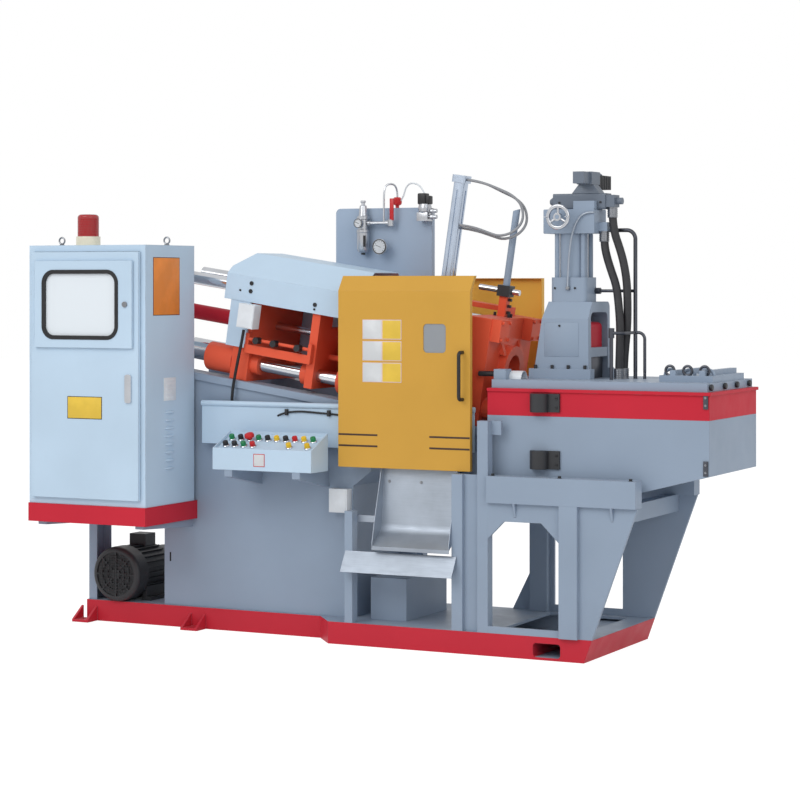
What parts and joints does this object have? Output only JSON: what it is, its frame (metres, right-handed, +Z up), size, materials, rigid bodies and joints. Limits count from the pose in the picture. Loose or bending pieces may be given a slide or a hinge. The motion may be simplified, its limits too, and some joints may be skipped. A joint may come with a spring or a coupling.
{
  "type": "hot-chamber die casting machine",
  "caption": "Die casting machine with inclined clamp unit, sliding guard, control cabinet, furnace and upright injection unit on a steel skid.",
  "frame": {"origin": "floor level on the middle cross member of the skid, under the clamp unit's centre plane", "axes": "+X along the machine to the furnace end, +Y from the operator's side to the back, +Z up"},
  "size_m": [3.205, 1.122, 2.1242],
  "materials": {
    "grey_paint": "satin",
    "white_paint": "satin",
    "red_paint": "satin",
    "yellow_paint": "satin",
    "orange_paint": "satin",
    "black_paint": "matte",
    "chrome": "polished",
    "sheet_steel": "brushed",
    "aluminium": "satin",
    "black_rubber": "matte",
    "black_plastic": "matte",
    "clear_pane": "clear",
    "red_lens": "gloss",
    "cream_plastic": "gloss",
    "white_plastic": "satin",
    "grey_hose": "matte"
  },
  "bodies": {
    "machine": {"skid": "red_paint", "deck": "grey_paint", "tank": "grey_paint", "bed": "grey_paint", "tie_bars": "chrome", "tail_platen": "orange_paint", "closing_cylinder": "red_paint", "fixed_platen": "orange_paint", "trip_rail": "orange_paint", "trip_knobs": "black_plastic", "hood": "white_paint", "rod_block": "black_paint", "guide_rod": "chrome", "mast": "grey_paint", "air_cylinder": "aluminium", "door_track": "white_paint", "console": "white_paint", "console_buttons": "black_plastic", "tray": "red_paint", "tray_post": "grey_paint", "cabinet": "white_paint", "beacon_base": "cream_plastic", "beacon_lens": "red_lens", "motor_pump": "black_paint", "front_frame": "grey_paint", "back_frame": "grey_paint", "stand_rails": "grey_paint", "chute": "sheet_steel", "furnace_case": "grey_paint", "furnace_band": "red_paint", "furnace_top": "grey_paint", "post_sockets": "black_paint", "injection_yoke": "grey_paint", "gooseneck": "red_paint", "injection_column": "grey_paint", "injection_valves": "black_paint", "feed_pipe": "chrome", "hose_left": "black_rubber", "hose_right": "black_rubber", "air_panel": "grey_paint", "air_fittings": "aluminium", "back_guard": "yellow_paint", "electric_boxes": "white_plastic", "air_hose_a": "grey_hose", "air_hose_b": "grey_hose"},
    "platen": {"moving_platen": "orange_paint", "ejector_yoke": "orange_paint", "closing_rod": "chrome"},
    "door": {"safety_door": "yellow_paint", "door_pane": "clear_pane", "door_handle": "black_plastic", "door_shoes": "black_plastic"},
    "cabinet_leaf": {"cabinet_door": "white_paint", "swing_handle": "chrome"},
    "window_leaf": {"window_door": "white_paint", "window_seal": "black_rubber", "window_pane": "clear_pane", "window_lock": "black_plastic"},
    "wheel": {"handwheel": "chrome"}
  },
  "joints": [
    {"name": "platen_slide", "type": "slide", "parent": "machine", "child": "platen", "axis": [0.989, 0, -0.1478], "range_m": [0, 0.18]},
    {"name": "door_slide", "type": "slide", "parent": "machine", "child": "door", "axis": [-1, 0, 0], "range_m": [0, 0.56]},
    {"name": "cabinet_hinge", "type": "hinge", "parent": "machine", "child": "cabinet_leaf", "pos_m": [-1.316, -0.696, 1.2], "axis": [0, 0, -1], "range_deg": [0, 110]},
    {"name": "window_hinge", "type": "hinge", "parent": "cabinet_leaf", "child": "window_leaf", "pos_m": [-1.289, -0.717, 1.525], "axis": [0, 0, -1], "range_deg": [0, 100]},
    {"name": "wheel_turn", "type": "hinge", "parent": "machine", "child": "wheel", "pos_m": [1.102, -0.141, 1.914], "axis": [0, -1, 0], "continuous": true}
  ]
}
